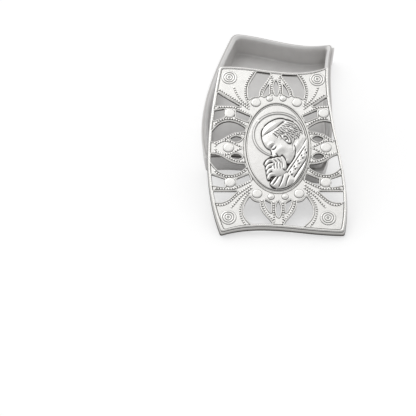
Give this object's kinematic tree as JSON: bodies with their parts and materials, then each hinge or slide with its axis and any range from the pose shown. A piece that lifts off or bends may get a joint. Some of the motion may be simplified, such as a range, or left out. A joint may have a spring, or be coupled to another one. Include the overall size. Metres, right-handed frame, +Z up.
{
  "type": "rosary box",
  "caption": "Wavy-sided keepsake box for a rosary: a shallow tray with an overlap lip, and its lifted-off openwork lid with an oval relief medallion, leaning on the tray's rim.",
  "frame": {"origin": "on the tray's underside, below the middle of its outline", "axes": "+Z up, +Y along the tray from the end that the lid leans on to the far end, +X to the right seen from that near end"},
  "size_m": [0.0722, 0.1223, 0.0273],
  "materials": {
    "tray_silver": "satin silver plate on a zinc casting",
    "lid_silver": "bright satin silver plate on a zinc casting",
    "antique_silver": "polished relief foil with dark patina in its recesses",
    "core_resin": "cast filling",
    "adhesive": "cured film"
  },
  "bodies": {
    "tray": {"base_tray": "tray_silver"},
    "lid": {"lid_frame": "lid_silver", "medallion_foil": "antique_silver", "medallion_core": "core_resin", "medallion_adhesive": "adhesive"}
  },
  "joints": [
    {"name": "lid_lift", "type": "slide", "parent": "tray", "child": "lid", "axis": [0, 0, 1], "range_m": [0, 0.06]}
  ]
}
